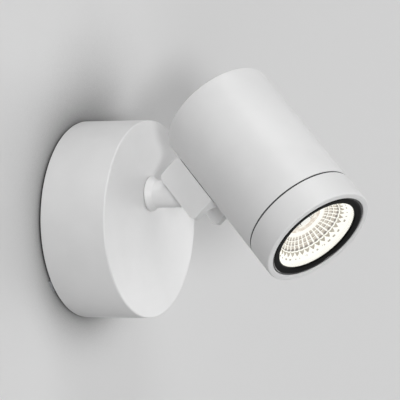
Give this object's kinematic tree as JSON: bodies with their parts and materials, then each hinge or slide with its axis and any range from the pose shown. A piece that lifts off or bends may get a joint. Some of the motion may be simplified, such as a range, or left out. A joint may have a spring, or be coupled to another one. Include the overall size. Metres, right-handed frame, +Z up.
{
  "type": "pivoting spotlight wall light",
  "caption": "Matte white wall spotlight: a round surface base, a flared swivel stem and a cylindrical lamp head on a grooved ball-joint block, with a black baffle ring and a fluted reflector.",
  "frame": {"origin": "on the wall at the middle of the round base", "axes": "+Z up, -Y out of the wall toward the room, +X to the right seen from the room"},
  "size_m": [0.11, 0.1712, 0.1369],
  "materials": {
    "white_paint": "fine matte powder coat",
    "black_paint": "gloss black lacquer",
    "zinc_plated_steel": "bright zinc plating",
    "stainless_steel": "plain stainless",
    "bare_aluminium": "as machined",
    "bright_metal": "vapour-metallised, specular",
    "brass": "plain",
    "clear_glass": "clear, polished",
    "black_rubber": "matte",
    "black_plastic": "matte",
    "white_plastic": "satin",
    "phosphor": "smooth",
    "black_cable": "satin",
    "brown_wire": "satin",
    "blue_wire": "satin",
    "green_wire": "satin"
  },
  "bodies": {
    "base": {"wall_plate": "zinc_plated_steel", "wall_gasket": "black_rubber", "base_cover": "white_paint", "lock_screws": "stainless_steel", "cable_grommet": "black_rubber", "driver_case": "white_plastic", "driver_screws": "zinc_plated_steel", "terminal_block": "white_plastic", "terminal_screws": "brass", "earth_screw": "zinc_plated_steel", "earth_tag": "brass", "earth_lead": "green_wire", "live_lead": "brown_wire", "neutral_lead": "blue_wire", "base_cable": "black_cable", "stop_pin": "stainless_steel", "stem_bush": "black_plastic"},
    "stem": {"stem_tube": "white_paint", "stem_seal": "black_rubber", "thrust_washer": "black_plastic", "stop_washer": "stainless_steel", "spring_washer": "stainless_steel", "stem_nut": "zinc_plated_steel", "swivel_ball": "white_paint", "stem_cable": "black_cable"},
    "lamp": {"knuckle_block": "white_paint", "ball_seat": "black_plastic", "seat_spring": "stainless_steel", "clamp_plate": "zinc_plated_steel", "block_screws": "stainless_steel", "head_cable": "black_cable", "head_housing": "white_paint", "seam_seal": "black_rubber", "front_bezel": "white_paint", "lens_ring": "black_paint", "front_glass": "clear_glass", "glass_seal": "black_rubber", "reflector": "bright_metal", "led_board": "white_plastic", "led_chip": "phosphor", "led_lens": "clear_glass", "board_screws": "stainless_steel", "heat_sink": "bare_aluminium"}
  },
  "joints": [
    {"name": "pan", "type": "hinge", "parent": "base", "child": "stem", "pos_m": [0, -0.0405, 0.014], "axis": [0, -1, 0], "range_deg": [-168, 168]},
    {"name": "tilt", "type": "hinge", "parent": "stem", "child": "lamp", "pos_m": [0, -0.06875, 0.014], "axis": [0.9646, 0, -0.2639], "range_deg": [-31, 58]}
  ]
}
